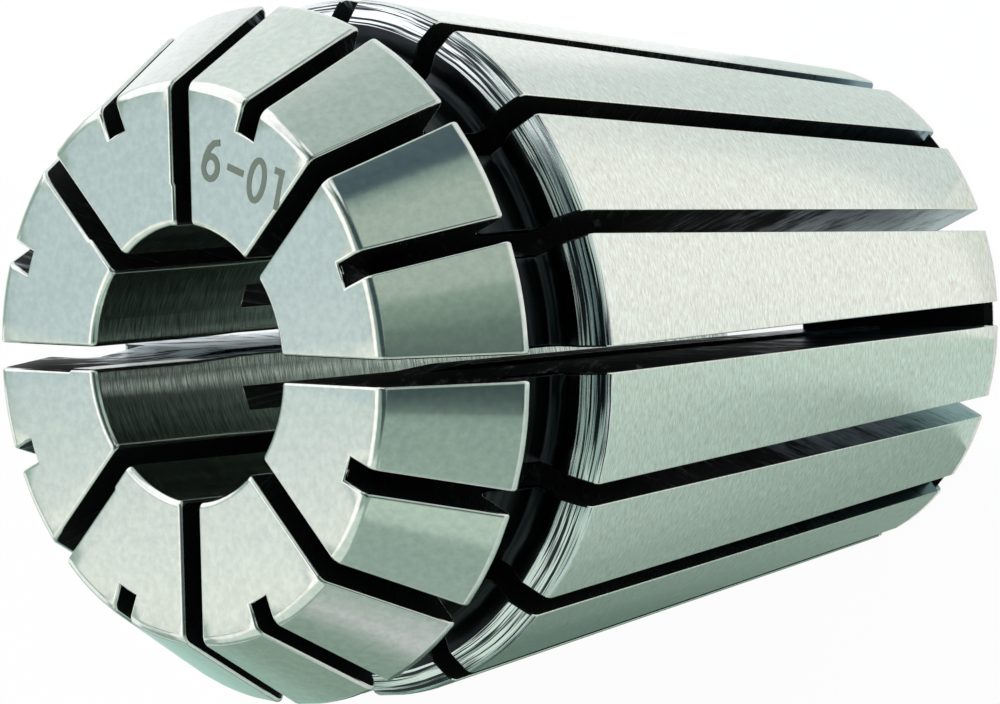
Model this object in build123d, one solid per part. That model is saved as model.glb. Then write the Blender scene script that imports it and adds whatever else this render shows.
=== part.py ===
# Spring collet for a cutter shank, size 25 with a 10 mm bore
# It stands on its rear face, with the nose at the top and the bore along Z. Sizes are in mm.

import os
from math import radians, tan

from build123d import *

# Body
length = 34.0              # rear face to nose face
body_dia = 26.0            # large end of the taper, before its edge is blended
taper_half_angle = 8.0     # seats in the chuck's bore
rear_edge_chamfer = 0.12

# Nose
nose_overhang = 0.065      # the nose stands out past the taper's large end, before it is rounded
nose_cone_rise = 2.865     # radial height of the cone, out from the nose face
nose_half_angle = 30.0     # the clamping nut presses on this cone
nose_edge_radius = 0.3     # at the nose face and at the cone's outer edge

# Groove behind the nose, for the nut's pull-out ring
groove_depth = 2.0         # below the taper's large end
groove_width = 3.15
groove_corner_radius = 0.5 # at the shoulder's foot
shoulder_step = 0.88       # radial height of the sloped shoulder behind the groove
shoulder_length = 0.65     # the same shoulder along the axis
shoulder_blend_radius = 0.5

# Bore, at the large end of its clamping range
bore_dia = 10.0
bore_edge_chamfer = 0.2

# Saw slots, cut in turn from the nose end and from the rear end
slots_per_end = 8
saw_radius = 31.5
front_slot_width = 0.93
front_saw_low_radius = 1.8     # the saw's lowest reach, measured from the axis
front_saw_stop = 20.25         # where the saw's centre stops, from the rear face
rear_slot_width = 0.88
rear_saw_low_radius = 3.0
rear_saw_stop = 18.42          # where the saw's centre stops, from the nose face

# Radii and heights that follow from the sizes above
body_radius = body_dia / 2
bore_radius = bore_dia / 2
groove_radius = body_radius - groove_depth
nose_radius = body_radius + nose_overhang
nose_face_radius = nose_radius - nose_cone_rise
cone_length = nose_cone_rise / tan(radians(nose_half_angle))
groove_top = length - cone_length
groove_bottom = groove_top - groove_width
taper_top = groove_bottom - shoulder_length
rear_radius = body_radius - taper_top * tan(radians(taper_half_angle))

# Half section, drawn from the rear end of the bore up the outside to the nose
rear_chamfer_rise = rear_edge_chamfer * tan(radians(taper_half_angle))
outline = [
    (bore_radius, bore_edge_chamfer),
    (bore_radius + bore_edge_chamfer, 0),
    (rear_radius - rear_edge_chamfer, 0),
    (rear_radius + rear_chamfer_rise, rear_edge_chamfer),
    (body_radius, taper_top),
    (body_radius - shoulder_step, groove_bottom),
    (groove_radius, groove_bottom),
    (groove_radius, groove_top),
    (nose_radius, groove_top),
    (nose_face_radius, length),
    (bore_radius + bore_edge_chamfer, length),
    (bore_radius, length - bore_edge_chamfer),
]
rounded = [
    ((body_radius, taper_top), shoulder_blend_radius),
    ((groove_radius, groove_bottom), groove_corner_radius),
    ((nose_radius, groove_top), nose_edge_radius),
    ((nose_face_radius, length), nose_edge_radius),
]
section = make_face(Polyline(*outline, close=True))
for place, radius in rounded:
    corner = section.vertices().sort_by_distance((*place, 0))[0]
    section = fillet(corner, radius)

# Turned blank, one piece of spring steel with the bore through it
blank = revolve(Plane.XZ * section, Axis.Z)

# The path of the saw's disc seen from the side of a slot: a run off the open end, and a round
# end where the slot's floor climbs from the bore out to the skin
reach = body_dia + length
front_run = Pos(front_saw_low_radius + reach / 2, front_saw_stop + reach / 2) * Rectangle(reach, reach)
front_disc = Pos(front_saw_low_radius + saw_radius, front_saw_stop) * Circle(saw_radius)
rear_stop_height = length - rear_saw_stop
rear_run = Pos(rear_saw_low_radius + reach / 2, rear_stop_height - reach / 2) * Rectangle(reach, reach)
rear_disc = Pos(rear_saw_low_radius + saw_radius, rear_stop_height) * Circle(saw_radius)
front_cut = extrude(Plane.XZ * (front_run + front_disc), front_slot_width / 2, both=True)
rear_cut = extrude(Plane.XZ * (rear_run + rear_disc), rear_slot_width / 2, both=True)

# Slots: the nose-end ones lie between the rear-end ones
slot_pitch = 360 / slots_per_end
cuts = []
for slot in range(slots_per_end):
    cuts.append(Rot(0, 0, slot * slot_pitch) * front_cut)
    cuts.append(Rot(0, 0, (slot + 0.5) * slot_pitch) * rear_cut)
collet = blank - cuts

os.makedirs("parts", exist_ok=True)
export_step(collet, "parts/collet.step")
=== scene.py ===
from math import cos, pi, radians, sin, sqrt, tan

import bmesh
import bpy
from mathutils import Matrix, Vector


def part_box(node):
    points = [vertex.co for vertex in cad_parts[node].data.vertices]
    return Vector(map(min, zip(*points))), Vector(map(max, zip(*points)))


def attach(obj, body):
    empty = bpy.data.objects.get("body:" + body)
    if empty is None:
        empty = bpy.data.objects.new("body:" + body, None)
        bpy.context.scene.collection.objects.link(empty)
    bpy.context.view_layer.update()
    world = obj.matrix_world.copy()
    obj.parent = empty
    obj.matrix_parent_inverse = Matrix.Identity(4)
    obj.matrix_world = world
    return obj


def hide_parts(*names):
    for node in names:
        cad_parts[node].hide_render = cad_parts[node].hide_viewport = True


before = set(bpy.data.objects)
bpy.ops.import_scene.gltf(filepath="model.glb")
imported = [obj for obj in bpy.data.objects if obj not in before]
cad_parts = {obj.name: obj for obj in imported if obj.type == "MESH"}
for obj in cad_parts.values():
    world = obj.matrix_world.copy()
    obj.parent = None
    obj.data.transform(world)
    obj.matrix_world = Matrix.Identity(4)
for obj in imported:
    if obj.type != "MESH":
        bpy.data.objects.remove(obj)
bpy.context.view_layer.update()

low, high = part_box("collet")

# Sizes of the collet in mm. The turned and sawn sizes are the solid's, and the edges are as the photo shows them
collet = {
    "length": 34.0,
    "bodyDia": 26.0,             # large end of the taper
    "taperAngle": 8.0,
    "rearChamfer": 0.12,
    "noseOverhang": 0.065,
    "coneRise": 2.865,
    "noseAngle": 30.0,
    "noseRounding": 0.3,         # outer edge of the cone
    "faceRounding": 0.5,         # tumbled edge round the nose face
    "grooveDepth": 2.0,
    "grooveWidth": 3.15,
    "grooveRounding": 0.5,
    "shoulderStep": 0.88,
    "shoulderLength": 0.65,
    "shoulderBlend": 0.5,
    "boreDia": 10.0,
    "boreRounding": 0.3,
    "slotsPerEnd": 8,
    "sawRadius": 31.5,
    "plainSpan": (7.5, 15.3),    # degrees of a finger that lie clear of both slots, all along
    "noseEdge": 0.14,            # tumbled edges of the slots at the nose
    "groundEdge": 0.05,          # edges of the slots on the ground taper
}

# Where the saw went: its lowest reach from the axis, the height where its centre stopped, and the height of the
# end face that the slot's floor climbs out to
frontSlot = {"width": 0.93, "sawLow": 1.8, "sawStop": 20.25, "endHeight": 0.0}
rearSlot = {"width": 0.88, "sawLow": 3.0, "sawStop": 34.0 - 18.42, "endHeight": 34.0}

# How finely the mesh is made, and what counts as touching, in mm
meshing = {
    "roundingSteps": 8,
    "floorSteps": 12,            # along a slot's floor
    "edgeSteps": 3,              # across a tumbled edge
    "onPlane": 1e-5,
    "onWall": 1e-4,
    "inSlot": 0.001,
    "weld": 0.04,                # from a slot floor's ends to the cut skin
    "seam": 0.002,               # between one finger and its copy
    "sharpBend": 50,             # degrees; a flatter edge is part of a curve
}

mm = (high.z - low.z) / collet["length"]     # one millimetre in scene units
halfPitch = pi / collet["slotsPerEnd"]       # from one slot to the next, about the axis
spanStart, spanEnd = [radians(angle) for angle in collet["plainSpan"]]


def sawnRadius(slot, height):
    centre = slot["sawLow"] + collet["sawRadius"]
    return centre - sqrt(collet["sawRadius"] ** 2 - (height - slot["sawStop"]) ** 2)


def boreCrossing(slot):
    centre = slot["sawLow"] + collet["sawRadius"]
    reach = sqrt(collet["sawRadius"] ** 2 - (centre - collet["boreDia"] / 2) ** 2)
    return slot["sawStop"] + (reach if slot["endHeight"] > slot["sawStop"] else -reach)


def isSawn(slot, point):
    across = Vector((point.x, point.y)).length
    upward = 1 if slot["endHeight"] > slot["sawStop"] else -1
    if (point.z - slot["sawStop"]) * upward <= 0:
        return True
    return across > sawnRadius(slot, point.z)


taperSlope = tan(radians(collet["taperAngle"]))
bodyRadius = collet["bodyDia"] / 2
boreRadius = collet["boreDia"] / 2
noseRadius = bodyRadius + collet["noseOverhang"]
faceRadius = noseRadius - collet["coneRise"]
grooveRadius = bodyRadius - collet["grooveDepth"]
grooveTop = collet["length"] - collet["coneRise"] / tan(radians(collet["noseAngle"]))
grooveBottom = grooveTop - collet["grooveWidth"]
taperTop = grooveBottom - collet["shoulderLength"]
rearRadius = bodyRadius - taperTop * taperSlope
shoulderFoot = bodyRadius - collet["shoulderStep"]

# Half section as radius, height and rounding, up the outside and back down the bore
outline = [
    (boreRadius, 0, collet["boreRounding"]),
    (sawnRadius(frontSlot, 0), 0, 0),
    (rearRadius - collet["rearChamfer"], 0, 0),
    (rearRadius + collet["rearChamfer"] * taperSlope, collet["rearChamfer"], 0),
    (bodyRadius, taperTop, collet["shoulderBlend"]),
    (shoulderFoot, grooveBottom, 0),
    (grooveRadius, grooveBottom, collet["grooveRounding"]),
    (grooveRadius, grooveTop, collet["grooveRounding"]),
    (noseRadius, grooveTop, collet["noseRounding"]),
    (faceRadius, collet["length"], collet["faceRounding"]),
    (sawnRadius(rearSlot, collet["length"]), collet["length"], 0),
    (boreRadius, collet["length"], collet["boreRounding"]),
    (boreRadius, boreCrossing(rearSlot), 0),
    (boreRadius, boreCrossing(frontSlot), 0),
]


# Half a finger's skin, from the middle of a front slot to the middle of a rear one
def turnedSkin(bm):
    corners = [(bm.verts.new((r, 0, z)), rounding) for r, z, rounding in outline]
    bm.faces.new([corner for corner, rounding in corners])
    for corner, rounding in corners:
        if rounding:
            sideA, sideB = [edge.other_vert(corner).co - corner.co for edge in corner.link_edges]
            setback = rounding * tan((pi - sideA.angle(sideB)) / 2)
            bmesh.ops.bevel(bm, geom=[corner], offset=setback, offset_type="OFFSET",
                            segments=meshing["roundingSteps"], profile=0.5, affect="VERTICES", material=-1)
    bmesh.ops.delete(bm, geom=bm.faces[:], context="FACES_ONLY")
    ring = bm.verts[:] + bm.edges[:]
    for angle, steps in ((spanStart, 1), (spanEnd - spanStart, 4), (halfPitch - spanEnd, 1)):
        turned = bmesh.ops.spin(bm, geom=ring, cent=(0, 0, 0), axis=(0, 0, 1), angle=angle, steps=steps)
        ring = turned["geom_last"]


def cutSlot(bm, turn, side, slot, firstStep):
    bmesh.ops.rotate(bm, verts=bm.verts[:], cent=(0, 0, 0), matrix=Matrix.Rotation(-turn, 3, "Z"))
    wall = side * slot["width"] / 2
    cut = bmesh.ops.bisect_plane(bm, geom=bm.verts[:] + bm.edges[:] + bm.faces[:], dist=meshing["onPlane"],
                                 plane_co=(0, wall, 0), plane_no=(0, 1, 0))
    for vert in [item for item in cut["geom_cut"] if isinstance(item, bmesh.types.BMVert)]:
        radius = vert.co.x + abs(wall) * tan(firstStep / 2)     # the cut points lie on a chord
        vert.co.x = sqrt(radius ** 2 - wall ** 2)
    opened = [face for face in bm.faces if face.calc_center_median().y * side < abs(wall)
              and isSawn(slot, face.calc_center_median())]
    bmesh.ops.delete(bm, geom=opened, context="FACES")

    # The slot's floor follows the saw's rim from the bore to the end face
    skin = bm.verts[:]
    boreEnd = Vector((boreRadius, 0, boreCrossing(slot)))
    faceEnd = Vector((sawnRadius(slot, slot["endHeight"]), 0, slot["endHeight"]))
    centre = Vector((slot["sawLow"] + collet["sawRadius"], 0, slot["sawStop"]))
    inner = bm.verts.new(boreEnd)
    outer = bm.verts.new(boreEnd + Vector((0, wall, 0)))
    rim = bm.edges.new((inner, outer))
    sweep = (boreEnd - centre).angle(faceEnd - centre)
    if slot["endHeight"] < slot["sawStop"]:
        sweep = -sweep
    floor = bmesh.ops.spin(bm, geom=[inner, outer, rim], cent=centre, axis=(0, 1, 0), angle=sweep,
                           steps=meshing["floorSteps"])
    ends = [inner, outer] + [v for v in floor["geom_last"] if isinstance(v, bmesh.types.BMVert)]
    near = [v for v in skin if v.is_valid and min((v.co - end.co).length for end in ends) < meshing["weld"]]
    bmesh.ops.remove_doubles(bm, verts=ends + near, dist=meshing["weld"])
    onWall = [e for e in bm.edges
              if e.is_boundary and all(abs(v.co.y - wall) < meshing["onWall"] for v in e.verts)]
    bmesh.ops.edgeloop_fill(bm, edges=onWall, mat_nr=0)
    bmesh.ops.rotate(bm, verts=bm.verts[:], cent=(0, 0, 0), matrix=Matrix.Rotation(turn, 3, "Z"))


# The second, narrower saw pass of some front slots, by the slot's place in degrees. Sizes in mm: "reach" is
# the radius where the first pass ended, "step" is how far the wall inside it stands proud, and "deep" is how
# far each wall leans over, below the groove, at the bore and at the skin
secondPass = {
    90: {"reach": 6.6, "step": 0.09, "deep": ((0.09, 0.0), (0.0, 0.0))},
    135: {"reach": 6.75, "step": 0.09, "deep": ((0.09, 0.0), (0.0, 0.0))},
    180: {"reach": 6.4, "step": 0.09, "deep": ((0.17, 0.28), (-0.06, 0.0))},
    225: {"reach": 6.25, "step": 0.09, "deep": ((0.09, 0.0), (0.0, 0.0))},
    0: {"reach": 6.6, "step": 0.0, "deep": ((0.0, 0.0), (0.15, 0.0))},
}
passRamp = 0.12                  # mm, from the first pass's wall to the second's
leanStart = 2.5                  # mm above the groove's lower edge, where a wall begins to lean


def slotWalls(bm, side):
    place = side * frontSlot["width"] / 2
    return [face for face in bm.faces if face.calc_center_median().x > 0 and abs(face.normal.y) > 0.99
            and abs(face.calc_center_median().y - place) < 0.01]


def shiftSecondPass(bm, degrees, shifts):
    turn = Matrix.Rotation(radians(degrees), 3, "Z")
    bmesh.ops.rotate(bm, verts=bm.verts[:], cent=(0, 0, 0), matrix=turn.inverted())
    reach = shifts["reach"]
    cuts = [((reach, 0, 0), (1, 0, 0)), ((reach - passRamp, 0, 0), (1, 0, 0)),
            ((0, 0, grooveBottom + leanStart), (0, 0, 1)), ((0, 0, grooveBottom), (0, 0, 1))]
    for side, (deepInner, deepOuter) in zip((1, -1), shifts["deep"]):
        for place, normal in cuts:
            bm.normal_update()
            walls = slotWalls(bm, side)
            geom = walls + [e for f in walls for e in f.edges] + [v for f in walls for v in f.verts]
            bmesh.ops.bisect_plane(bm, geom=list(dict.fromkeys(geom)), dist=meshing["onPlane"],
                                   plane_co=place, plane_no=normal)
        bm.normal_update()
        for vert in {v for f in slotWalls(bm, side) for v in f.verts}:
            isInner = vert.co.x < reach - passRamp / 2
            if vert.co.z < grooveBottom + leanStart / 2:
                vert.co.y -= side * (deepInner if isInner else deepOuter)
            elif side == 1 and isInner:
                vert.co.y -= shifts["step"]
    bmesh.ops.rotate(bm, verts=bm.verts[:], cent=(0, 0, 0), matrix=turn)


# How much shallower each rear slot runs out at the nose face, in mm, by the slot's place in degrees
shallower = {
    22.5: 0.08, 67.5: 0.14, 112.5: 0.09, 157.5: 0.18,
    -157.5: 0.26, -112.5: 0.24, -67.5: 0.24, -22.5: 0.13,
}


def raiseNotch(bm, degrees, rise):
    outward = Vector((cos(radians(degrees)), sin(radians(degrees)), 0))
    for vert in bm.verts:
        flat = Vector((vert.co.x, vert.co.y, 0))
        aside = abs(flat.cross(outward).z)
        if vert.co.z < grooveTop or aside > rearSlot["width"] / 2 + meshing["inSlot"]:
            continue
        if abs(flat.dot(outward) - sawnRadius(rearSlot, vert.co.z)) < meshing["weld"]:
            vert.co += outward * rise * (vert.co.z - grooveTop) / (collet["length"] - grooveTop)


bm = bmesh.new()
turnedSkin(bm)
cutSlot(bm, 0, 1, frontSlot, spanStart)
cutSlot(bm, halfPitch, -1, rearSlot, halfPitch - spanEnd)
bmesh.ops.mirror(bm, geom=bm.verts[:] + bm.edges[:] + bm.faces[:], matrix=Matrix.Identity(4),
                 merge_dist=meshing["seam"], axis="Y")
bmesh.ops.spin(bm, geom=bm.verts[:] + bm.edges[:] + bm.faces[:], cent=(0, 0, 0), axis=(0, 0, 1),
               angle=2 * pi * (1 - 1 / collet["slotsPerEnd"]), steps=collet["slotsPerEnd"] - 1,
               use_duplicate=True)
bmesh.ops.remove_doubles(bm, verts=bm.verts[:], dist=meshing["seam"])
bmesh.ops.recalc_face_normals(bm, faces=bm.faces[:])
for degrees, shifts in secondPass.items():
    shiftSecondPass(bm, degrees, shifts)
for degrees, rise in shallower.items():
    raiseNotch(bm, degrees, rise)
print("skin:", len(bm.faces), "faces,", sum(e.is_boundary for e in bm.edges), "open edges,",
      sum(not e.is_manifold for e in bm.edges), "non-manifold,", round(bm.calc_volume(), 1), "mm3")

finishes = ["taper", "shoulder", "groove", "nose", "bore", "slot", "litOpenSlot", "floor"]

# What tells one finish from another. Distances are in mm, and the two facings are cosines
parting = {
    "onSurface": 0.01,           # this near a surface counts as on it
    "onBore": 0.005,
    "onFloor": 0.03,
    "floorEnd": 0.1,             # past the height where a floor meets the bore
    "wallStart": 0.3,            # from the bore out to the slots' walls
    "wallFacing": 0.6,           # how squarely a wall looks across its slot
    "openSlotFacing": -0.98,     # the slot that the photo looks straight into
    "shoulderEnd": 0.15,         # from the shoulder's edge down the taper
    "noseEnd": 0.05,             # from the nose's lower face down
}


def isFloor(middle):
    across = Vector((middle.x, middle.y)).length
    if across < boreRadius + parting["onSurface"]:
        return False
    onFront = abs(across - sawnRadius(frontSlot, middle.z)) < parting["onFloor"]
    onRear = abs(across - sawnRadius(rearSlot, middle.z)) < parting["onFloor"]
    return (onFront and middle.z < boreCrossing(frontSlot) + parting["floorEnd"]
            or onRear and middle.z > boreCrossing(rearSlot) - parting["floorEnd"])


def finishAt(face):
    middle = face.calc_center_median()
    across = Vector((middle.x, middle.y)).length
    outward = Vector((middle.x, middle.y, 0)).normalized()
    around = Vector((-outward.y, outward.x, 0))
    near = parting["onSurface"]
    if isFloor(middle):
        return "floor"
    if across > boreRadius + parting["wallStart"] and abs(face.normal.dot(around)) > parting["wallFacing"]:
        return "litOpenSlot" if outward.x < parting["openSlotFacing"] else "slot"
    if across < boreRadius + parting["onBore"] and middle.z < collet["length"] - collet["boreRounding"]:
        return "bore"
    if middle.z > grooveTop - near:
        return "nose"
    if middle.z > grooveBottom + near or across < shoulderFoot - near and middle.z > taperTop:
        return "groove"
    if middle.z > taperTop - parting["shoulderEnd"]:
        return "shoulder"
    return "taper"


edgeWeight = bm.edges.layers.float.new("bevel_weight_edge")
for face in bm.faces:
    face.smooth = True
    face.material_index = finishes.index(finishAt(face))
for edge in bm.edges:
    bend = edge.calc_face_angle_signed()
    if bend > radians(meshing["sharpBend"]):
        onTaper = min(vert.co.z for vert in edge.verts) < grooveBottom
        edge[edgeWeight] = collet["groundEdge"] / collet["noseEdge"] if onTaper else 1
    elif bend < -radians(meshing["sharpBend"]):
        edge.smooth = False

bmesh.ops.scale(bm, verts=bm.verts[:], vec=(mm, mm, mm))
colletMesh = bpy.data.meshes.new("collet")
bm.to_mesh(colletMesh)
bm.free()
colletSteel = bpy.data.objects.new("colletSteel", colletMesh)
bpy.context.scene.collection.objects.link(colletSteel)


def hexColour(code):
    parts = [int(code[i:i + 2], 16) / 255 for i in (0, 2, 4)]
    linear = [part / 12.92 if part <= 0.04045 else ((part + 0.055) / 1.055) ** 2.4 for part in parts]
    return (*linear, 1)


# An input may be a number, a socket, or a node, whose first output is then linked
def addNode(tree, kind, inputs=None, **settings):
    node = tree.nodes.new(kind)
    for name, value in settings.items():
        setattr(node, name, value)
    for name, value in (inputs or {}).items():
        if isinstance(value, bpy.types.Node):
            value = value.outputs[0]
        if isinstance(value, bpy.types.NodeSocket):
            tree.links.new(value, node.inputs[name])
        else:
            node.inputs[name].default_value = value
    return node


def newMaterial(name):
    material = bpy.data.materials.new(name)
    material.use_nodes = True
    material.node_tree.nodes.clear()
    return material, material.node_tree


# Machined steel. "grain" is the size of one mark in mm along X, Y and Z, so a small last size draws rings round
# the axis. Real grinding and honing lines are some 0.01 mm apart, and are drawn as coarse as they need to show
def steelFinish(name, dark, light, roughness, grain, spread=(0.35, 0.65), depth=0.0, detail=2.0):
    material, tree = newMaterial(name)
    place = addNode(tree, "ShaderNodeTexCoord").outputs["Object"]
    scaled = addNode(tree, "ShaderNodeMapping", {"Vector": place, "Scale": [1 / mm / size for size in grain]})
    height = addNode(tree, "ShaderNodeTexNoise", {"Vector": scaled, "Scale": 1.0, "Detail": detail,
                                                  "Roughness": 0.6})
    paleness = addNode(tree, "ShaderNodeMapRange", {"Value": height, "From Min": spread[0],
                                                    "From Max": spread[1]})
    colour = addNode(tree, "ShaderNodeMix", {0: paleness, 6: hexColour(dark), 7: hexColour(light)},
                     data_type="RGBA")
    bump = addNode(tree, "ShaderNodeBump", {"Height": height, "Strength": 1.0, "Distance": depth * mm})
    shader = addNode(tree, "ShaderNodeBsdfPrincipled", {
        "Base Color": colour.outputs[2], "Metallic": 1.0, "Roughness": roughness, "Normal": bump})
    addNode(tree, "ShaderNodeOutputMaterial", {"Surface": shader})
    return material


sawMarks = {
    "spacing": 0.8,              # mm between the coarse marks; finer ones lie between
    "length": 4.0,
    "aroundRadius": 30.0,        # mm; sets how soon the marks change from one wall to the next
    "turnHeight": 18.0,          # the arcs lean the other way below this height
    "turnReach": 3.0,            # mm to each side of it
    "rearLean": -0.25,
    "leanGain": 1.25,            # added to that towards the nose
    "depth": 0.03,
    "blotch": 2.5,               # mm across
    "blotchShare": 0.3,
    "black": "08090a",
}


# Walls left by the saw: bare steel on the marks that stand proud, and black oxide between them
def sawnFinish(name, bright, paintedLitHeights, share, bareLimits):
    material, tree = newMaterial(name)
    place = addNode(tree, "ShaderNodeTexCoord").outputs["Object"]
    parts = addNode(tree, "ShaderNodeSeparateXYZ", {0: place}).outputs
    flat = addNode(tree, "ShaderNodeCombineXYZ", {0: parts[0], 1: parts[1]})
    across = addNode(tree, "ShaderNodeVectorMath", {0: flat}, operation="LENGTH").outputs["Value"]

    # Arcs of the saw's rim, moved along the slot as the saw was fed in. They are flatter towards the rear
    sawCentre = (frontSlot["sawLow"] + collet["sawRadius"]) * mm
    inward = addNode(tree, "ShaderNodeMath", {0: sawCentre, 1: across}, operation="SUBTRACT")
    inwardSquare = addNode(tree, "ShaderNodeMath", {0: inward, 1: inward}, operation="MULTIPLY")
    riseSquare = addNode(tree, "ShaderNodeMath", {0: (collet["sawRadius"] * mm) ** 2, 1: inwardSquare},
                         operation="SUBTRACT")
    rise = addNode(tree, "ShaderNodeMath", {0: riseSquare}, operation="SQRT")
    towardNose = addNode(tree, "ShaderNodeMapRange", {
        "Value": parts[2], "From Min": (sawMarks["turnHeight"] - sawMarks["turnReach"]) * mm,
        "From Max": (sawMarks["turnHeight"] + sawMarks["turnReach"]) * mm})
    leaned = addNode(tree, "ShaderNodeMath", {0: towardNose, 1: sawMarks["leanGain"]}, operation="MULTIPLY")
    lean = addNode(tree, "ShaderNodeMath", {0: leaned, 1: sawMarks["rearLean"]}, operation="ADD")
    climb = addNode(tree, "ShaderNodeMath", {0: rise, 1: lean}, operation="MULTIPLY")
    arc = addNode(tree, "ShaderNodeMath", {0: parts[2], 1: climb}, operation="SUBTRACT")
    turn = addNode(tree, "ShaderNodeMath", {0: parts[1], 1: parts[0]}, operation="ARCTAN2")
    around = addNode(tree, "ShaderNodeMath", {0: turn, 1: sawMarks["aroundRadius"] * mm}, operation="MULTIPLY")
    arcPlace = addNode(tree, "ShaderNodeCombineXYZ", {0: arc, 1: across, 2: around})
    arcScaled = addNode(tree, "ShaderNodeMapping", {
        "Vector": arcPlace, "Scale": [1 / mm / size for size in (sawMarks["spacing"], sawMarks["length"], 1)]})
    height = addNode(tree, "ShaderNodeTexNoise", {"Vector": arcScaled, "Scale": 1.0, "Detail": 4.0,
                                                  "Roughness": 0.85})

    # The oxide wears off in blotches. Towards the rear, below the given heights, more bare steel shows: painted
    # light where light reaches into the slot
    blotchScaled = addNode(tree, "ShaderNodeMapping", {"Vector": place,
                                                       "Scale": [1 / mm / sawMarks["blotch"]] * 3})
    blotches = addNode(tree, "ShaderNodeTexNoise", {"Vector": blotchScaled, "Scale": 1.0, "Detail": 2.0,
                                                    "Roughness": 0.6})
    atNose = addNode(tree, "ShaderNodeMapRange", {"Value": parts[2], "From Min": paintedLitHeights[0] * mm,
                                                  "From Max": paintedLitHeights[1] * mm})
    atRear = addNode(tree, "ShaderNodeMath", {0: 1.0, 1: atNose}, operation="SUBTRACT")
    blotched = addNode(tree, "ShaderNodeMath", {0: blotches, 1: sawMarks["blotchShare"]}, operation="MULTIPLY")
    paintedLitRear = addNode(tree, "ShaderNodeMath", {0: atRear, 1: share}, operation="MULTIPLY")
    wearAndLight = addNode(tree, "ShaderNodeMath", {0: blotched, 1: paintedLitRear}, operation="ADD")
    proud = addNode(tree, "ShaderNodeMath", {0: height, 1: wearAndLight}, operation="ADD")
    bare = addNode(tree, "ShaderNodeMapRange", {"Value": proud, "From Min": bareLimits[0],
                                                "From Max": bareLimits[1]})

    bump = addNode(tree, "ShaderNodeBump", {"Height": height, "Strength": 1.0,
                                            "Distance": sawMarks["depth"] * mm})
    oxide = addNode(tree, "ShaderNodeBsdfPrincipled", {
        "Base Color": hexColour(sawMarks["black"]), "Roughness": 0.6, "Specular IOR Level": 0.1,
        "Normal": bump})
    steel = addNode(tree, "ShaderNodeBsdfPrincipled", {
        "Base Color": hexColour(bright), "Metallic": 1.0, "Roughness": 0.3, "Normal": bump})
    both = addNode(tree, "ShaderNodeMixShader", {0: bare, 1: oxide, 2: steel})
    addNode(tree, "ShaderNodeOutputMaterial", {"Surface": both})
    return material


# Painted shade at the bottom of a saw cut: near black and matte, with hardly any reflection
def paintedShadeFinish(name):
    material, tree = newMaterial(name)
    shader = addNode(tree, "ShaderNodeBsdfPrincipled", {"Base Color": hexColour("070808"), "Roughness": 0.8,
                                                        "Specular IOR Level": 0.05})
    addNode(tree, "ShaderNodeOutputMaterial", {"Surface": shader})
    return material


# All of it is one hardened spring steel. Each look is what a way of working left on it, with painted light and
# painted shade where noted
looks = {
    # Ground round the axis: a pale, even satin with faint streaks along the turn
    "taper": steelFinish("groundSpringSteel", "c6bfbb", "dfe6e1", 0.3, (0.3, 0.3, 0.045), depth=0.0008,
                         detail=3.0),
    # Turned with a coarse feed and never ground: bright rings with black oil in the furrows
    "shoulder": steelFinish("roughTurnedSpringSteel", "272d31", "d2d8d9", 0.25, (5, 5, 0.055),
                            spread=(0.44, 0.515), depth=0.015),
    # Turned, and nearly black with faint paler rings: painted shade in the groove under the nose collar
    "groove": steelFinish("shadeBlackSpringSteel", "121517", "262a2c", 0.22, (4, 4, 0.3), depth=0.003),
    # Tumbled among stones: smooth and silvery, so that it mirrors soft lights and its edges shine
    "nose": steelFinish("tumbledSpringSteel", "c1c4c2", "cdd0cc", 0.17, (0.3, 0.3, 0.3), depth=0.0004,
                        detail=4.0),
    # Honed: fine rings all along the bore, each catching the light a little differently
    "bore": steelFinish("honedSpringSteel", "8a958f", "dde7e0", 0.2, (0.8, 0.8, 0.045), depth=0.003),
    # Sawn, then blackened by the hardening: dark walls with thin grey arcs, and more bare steel towards the
    # rear, which is painted light
    "slot": sawnFinish("oxidisedSawnSpringSteel", "7f929a", (3, 16), 0.3, (0.7, 0.92)),
    # The same sawn walls in the slot that lies open to the eye, with paler arcs and more bare steel: painted
    # light
    "litOpenSlot": sawnFinish("litSawnSpringSteel", "bccbd0", (28, 33), 0.25, (0.82, 0.9)),
    # Painted shade deep in the saw cuts: black, with no glint
    "floor": paintedShadeFinish("shadeBlackSawnSpringSteel"),
}
for finish in finishes:
    colletSteel.data.materials.append(looks[finish])
print("finishes:", ", ".join(looks[finish].name for finish in finishes))

soften = colletSteel.modifiers.new("edges", "BEVEL")
soften.limit_method = "WEIGHT"
soften.width = collet["noseEdge"] * mm
soften.material = finishes.index("nose")
soften.segments = meshing["edgeSteps"]
soften.use_clamp_overlap = False
soften.loop_slide = True
flatten = colletSteel.modifiers.new("shading", "WEIGHTED_NORMAL")
flatten.keep_sharp = True
bpy.context.view_layer.update()
finished = bpy.data.meshes.new_from_object(colletSteel.evaluated_get(bpy.context.evaluated_depsgraph_get()))

# The softened edges come out with the nose's finish. Below the nose, each takes that of the surface beside it
for face in finished.polygons:
    height = face.center.z / mm
    if face.material_index == finishes.index("nose") and height < grooveTop - parting["noseEnd"]:
        across = Vector((face.center.x, face.center.y)).length / mm
        if across < boreRadius + parting["wallStart"]:
            finish = "bore"
        elif height < taperTop:
            finish = "taper"
        else:
            finish = "groove"
        face.material_index = finishes.index(finish)
colletSteel.modifiers.clear()
colletSteel.data = finished
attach(colletSteel, "root")
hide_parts("collet")
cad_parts["collet"].hide_render = True
print("collet:", len(finished.polygons), "faces")

# Clamping range, burnt into the nose face
sizeMark = {
    "place": (3.46, 6.93),       # middle of the line of figures, mm from the axis
    "turn": 162.5,               # degrees; the figures' heads point at the bore
    "stroke": 0.25,
    "layer": 0.002,
    "above": 0.004,              # clear of the steel
    "loopSteps": 24,
    "colour": "727a72",
}


def loop(x, y, across, tall):
    steps = sizeMark["loopSteps"]
    return [(x + across * cos(2 * pi * i / steps), y + tall * sin(2 * pi * i / steps)) for i in range(steps + 1)]


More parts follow.
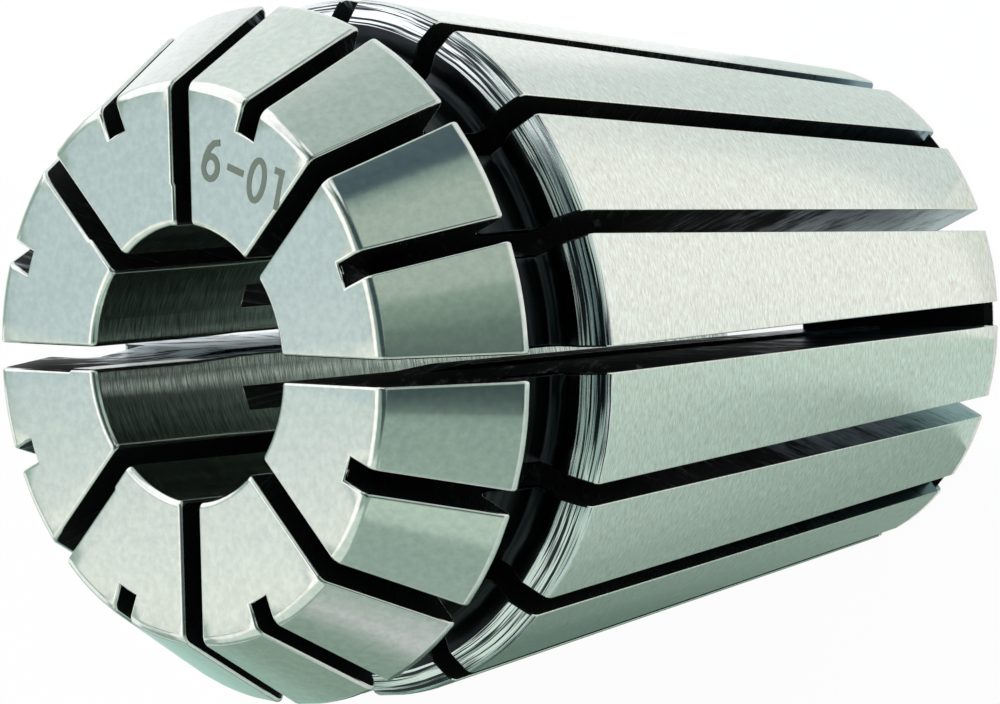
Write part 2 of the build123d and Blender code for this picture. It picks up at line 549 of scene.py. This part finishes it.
# Each figure: where its middle lies along the line, and the middle lines of its strokes, in mm
figures = (
    (-1.82, [[(0, 0.72), (0.02, -0.7)], [(-0.12, -0.68), (0.4, -0.66)]]),
    (-0.62, [loop(0, 0, 0.37, 0.74)]),
    (0.56, [[(-0.45, 0), (0.42, 0)]]),
    (1.82, [loop(0, 0.32, 0.36, 0.41),
            [(0.36, 0.32), (0.34, 0), (0.24, -0.33), (0.05, -0.58), (-0.25, -0.7)]]),
)
bm = bmesh.new()
layer = 0
for along, strokes in figures:
    for stroke in strokes:
        points = [Vector((along + x, y, layer)) for x, y in stroke]
        layer += sizeMark["layer"]                     # strokes that cross don't share a plane
        closed = stroke[0] == stroke[-1]
        pairs = []
        for i, point in enumerate(points):
            before = points[i - 1] if i else points[-2] if closed else point
            after = points[i + 1] if i + 1 < len(points) else points[1] if closed else point
            sideways = (after - before).normalized().cross(Vector((0, 0, 1))) * sizeMark["stroke"] / 2
            pairs.append((bm.verts.new(point + sideways), bm.verts.new(point - sideways)))
        for (a, b), (c, d) in zip(pairs, pairs[1:]):
            bm.faces.new((a, c, d, b))
markPlace = Matrix.Translation((*sizeMark["place"], collet["length"] + sizeMark["above"]))
bm.transform(Matrix.Scale(mm, 4) @ markPlace @ Matrix.Rotation(radians(sizeMark["turn"]), 4, "Z"))
markMesh = bpy.data.meshes.new("sizeMark")
bm.to_mesh(markMesh)
bm.free()
markPiece = bpy.data.objects.new("sizeMark", markMesh)
bpy.context.scene.collection.objects.link(markPiece)

# Burnt by a current through a stencil: dull grey figures that stay readable against the bright face
burnt, tree = newMaterial("burntSpringSteel")
shader = addNode(tree, "ShaderNodeBsdfPrincipled", {"Base Color": hexColour(sizeMark["colour"]), "Metallic": 1.0,
                                                    "Roughness": 0.45})
addNode(tree, "ShaderNodeOutputMaterial", {"Surface": shader})
markMesh.materials.append(burnt)
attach(markPiece, "root")
print("size mark:", len(markMesh.polygons), "faces")

# Studio: each card faces the collet from a direction (degrees about the axis, degrees up), at a distance in
# metres. A glow of 1 is white. Two glows fade into each other along the card, between the two places in "fade"
studio = {
    "surround": (0.42, 0.57, 0.49),
    "aim": (0, 0, 0.03),
    "cards": {
        "faceSoftbox": {"about": -174, "up": 44, "away": 0.12, "size": (0.044, 0.04),
                        "glow": ((1.3, 1.34, 1.24), (0.76, 0.93, 0.95)), "fade": (-0.25, 0.05)},
        "topSoftbox": {"about": -174, "up": 70, "away": 0.3, "size": (0.3, 0.17), "glow": (1.75, 1.72, 1.65)},
        "rimSoftbox": {"about": 155, "up": 38, "away": 0.3, "size": (0.1, 0.2), "glow": (1.7, 1.7, 1.7)},
        "lowRimSoftbox": {"about": -146, "up": 42, "away": 0.3, "size": (0.09, 0.13),
                          "glow": (1.45, 1.42, 1.32)},
        "sideSoftbox": {"about": 134, "up": 20, "away": 0.42, "size": (0.46, 0.48),
                        "glow": (1.75, 1.75, 1.75)},
        "upperSoftbox": {"about": 119, "up": 46, "away": 0.43, "size": (0.2, 0.12), "glow": (1.5, 1.5, 1.5)},
        "leftSoftbox": {"about": -163, "up": 10, "away": 0.40, "size": (0.18, 0.22),
                        "glow": (1.35, 1.4, 1.34)},
        "edgeSoftbox": {"about": 78, "up": 35, "away": 0.42, "size": (0.17, 0.11), "glow": (1.5, 1.5, 1.5)},
        "lowerSoftbox": {"about": -104, "up": 40, "away": 0.45, "size": (0.56, 0.4),
                         "glow": (0.94, 1.08, 0.96)},
        "cornerCard": {"about": -48, "up": 12, "away": 0.43, "size": (0.1, 0.2), "glow": (0.74, 0.92, 0.78)},
        "backCard": {"about": 88, "up": 12, "away": 0.46, "size": (0.26, 0.34), "glow": (0.62, 0.76, 0.71)},
        "rightCard": {"about": 38, "up": 12, "away": 0.46, "size": (0.26, 0.30), "glow": (0.6, 0.72, 0.62)},
        "overheadFlag": {"about": 25, "up": 57, "away": 0.5, "size": (0.7, 0.3), "glow": (0.06, 0.09, 0.1)},
        "backFlag": {"about": 64.5, "up": 12, "away": 0.43, "size": (0.088, 0.34), "glow": (0.05, 0.1, 0.13)},
        "rightFlag": {"about": 3, "up": 14, "away": 0.43, "size": (0.27, 0.3),
                      "glow": ((0.38, 0.52, 0.42), (0.03, 0.06, 0.07)), "fade": (-0.5, 0.35)},
    },
    "floorCardHeight": 0.0003,
    "floorCards": {                                                # mm, from one corner to the other
        "farBounce": {"from": (-120, 5.3), "to": (-3, 90), "glow": (1.22, 1.26, 1.27)},
        "wideBounce": {"from": (-300, 90), "to": (30, 420), "glow": (1.06, 1.18, 1.12)},
        "leftBounce": {"from": (-500, -20), "to": (-120, 90), "glow": (0.72, 0.92, 0.88)},
        "nearBounce": {"from": (-3, 5.3), "to": (10, 90), "glow": (0.86, 0.97, 0.95)},
        "rightBounce": {"from": (10, -1), "to": (90, 90), "glow": (1.2, 1.24, 1.18)},
        "footBounce": {"from": (5.3, -1), "to": (10, 5.3), "glow": (1.0, 1.05, 0.98)},
        "rightGrey": {"from": (5.3, -5.3), "to": (90, -1), "glow": (0.7, 0.88, 0.79)},
        "nearGrey": {"from": (-30, -140), "to": (90, -5.3), "glow": ((0.13, 0.21, 0.17), (0.7, 0.88, 0.79)),
                     "fade": (-0.3, -0.03)},
        "frontGrey": {"from": (-140, -500), "to": (-30, -20), "axis": 1,
                      "glow": ((0.34, 0.48, 0.39), (0.5, 0.74, 0.66)), "fade": (0.34, 0.48)},
    },
}
aim = Vector(studio["aim"])


def glowing(name, card):
    material, tree = newMaterial(name)
    if "fade" in card:
        place = addNode(tree, "ShaderNodeTexCoord").outputs["Object"]
        along = addNode(tree, "ShaderNodeSeparateXYZ", {0: place}).outputs[card.get("axis", 0)]
        fading = addNode(tree, "ShaderNodeMapRange", {"Value": along, "From Min": card["fade"][0],
                                                      "From Max": card["fade"][1]})
        start, end = card["glow"]
        colour = addNode(tree, "ShaderNodeMix", {0: fading, 6: (*start, 1), 7: (*end, 1)},
                         data_type="RGBA").outputs[2]
    else:
        colour = (*card["glow"], 1)
    glow = addNode(tree, "ShaderNodeEmission", {"Color": colour, "Strength": 1.0})
    addNode(tree, "ShaderNodeOutputMaterial", {"Surface": glow})
    return material


def addCard(name, centre, size, card):
    bpy.ops.mesh.primitive_plane_add(size=1)
    plane = bpy.context.object
    plane.name = name
    plane.scale = (*size, 1)
    plane.location = centre
    if "about" in card:
        plane.rotation_euler = (aim - plane.location).to_track_quat("Z", "Y").to_euler()
    plane.data.materials.append(glowing(name, card))
    plane.visible_camera = False
    plane.visible_shadow = False


for name, card in studio["cards"].items():
    about, up = radians(card["about"]), radians(card["up"])
    direction = Vector((cos(about) * cos(up), sin(about) * cos(up), sin(up)))
    addCard(name, aim + direction * card["away"], card["size"], card)
for name, card in studio["floorCards"].items():
    middle = [(a + b) / 2 * mm for a, b in zip(card["from"], card["to"])]
    size = [abs(b - a) * mm for a, b in zip(card["from"], card["to"])]
    addCard(name, (*middle, studio["floorCardHeight"]), size, card)

world = bpy.data.worlds.new("studio")
bpy.context.scene.world = world
world.use_nodes = True
world.node_tree.nodes.clear()
surround = addNode(world.node_tree, "ShaderNodeBackground", {"Color": (*studio["surround"], 1), "Strength": 1.0})
addNode(world.node_tree, "ShaderNodeOutputWorld", {"Surface": surround})
print("studio:", len(studio["cards"]), "cards and", len(studio["floorCards"]), "on the floor")

# White paper under the collet. The camera and reflections see it nearly plain white, with a little of the shadow
paperFloor = {
    "size": 3,                   # metres
    "colour": "f4f4f4",
    "plainShare": 0.95,
}
bpy.ops.mesh.primitive_plane_add(size=paperFloor["size"], location=(0, 0, low.z))
floor = bpy.context.object
floor.name = "floor"
paper, tree = newMaterial("whitePaper")
lightPath = addNode(tree, "ShaderNodeLightPath").outputs
cameraOrGlossy = addNode(tree, "ShaderNodeMath", {0: lightPath["Is Camera Ray"], 1: lightPath["Is Glossy Ray"]},
                         operation="MAXIMUM")
shown = addNode(tree, "ShaderNodeMath", {0: cameraOrGlossy, 1: lightPath["Is Transmission Ray"]},
                operation="MAXIMUM")
plain = addNode(tree, "ShaderNodeBsdfDiffuse", {"Color": hexColour(paperFloor["colour"])})
white = addNode(tree, "ShaderNodeEmission", {"Color": (1, 1, 1, 1), "Strength": 1.0})
share = addNode(tree, "ShaderNodeMath", {0: shown, 1: paperFloor["plainShare"]}, operation="MULTIPLY")
mixed = addNode(tree, "ShaderNodeMixShader", {0: share, 1: plain, 2: white})
addNode(tree, "ShaderNodeOutputMaterial", {"Surface": mixed})
floor.data.materials.append(paper)
print("floor:", paperFloor["size"], "m of white paper")

# The photo looks down at the nose from 45 degrees, with the collet lying across the picture
photoCamera = {
    "place": (200.597, 19.058, 217.724),    # mm, in the part's frame
    "aim": (-0.396, -0.661, 17.462),
    "roll": -95.327,                    # degrees, turns the upright collet onto its side
    "lens": 270.101,
    "sensor": 36.0,
}
cameraData = bpy.data.cameras.new("photoCamera")
cameraData.lens = photoCamera["lens"]
cameraData.sensor_width = photoCamera["sensor"]
cameraData.clip_start = 0.01
cameraData.clip_end = 10
camera = bpy.data.objects.new("photoCamera", cameraData)
place = Vector(photoCamera["place"]) * mm
look = (Vector(photoCamera["aim"]) * mm - place).to_track_quat("-Z", "Y").to_matrix()
rolled = look @ Matrix.Rotation(radians(photoCamera["roll"]), 3, "Z")
camera.matrix_world = Matrix.Translation(place) @ rolled.to_4x4()
bpy.context.scene.collection.objects.link(camera)
bpy.context.scene.camera = camera
bpy.context.scene.view_settings.view_transform = "Standard"
print("camera:", photoCamera["lens"], "mm lens")
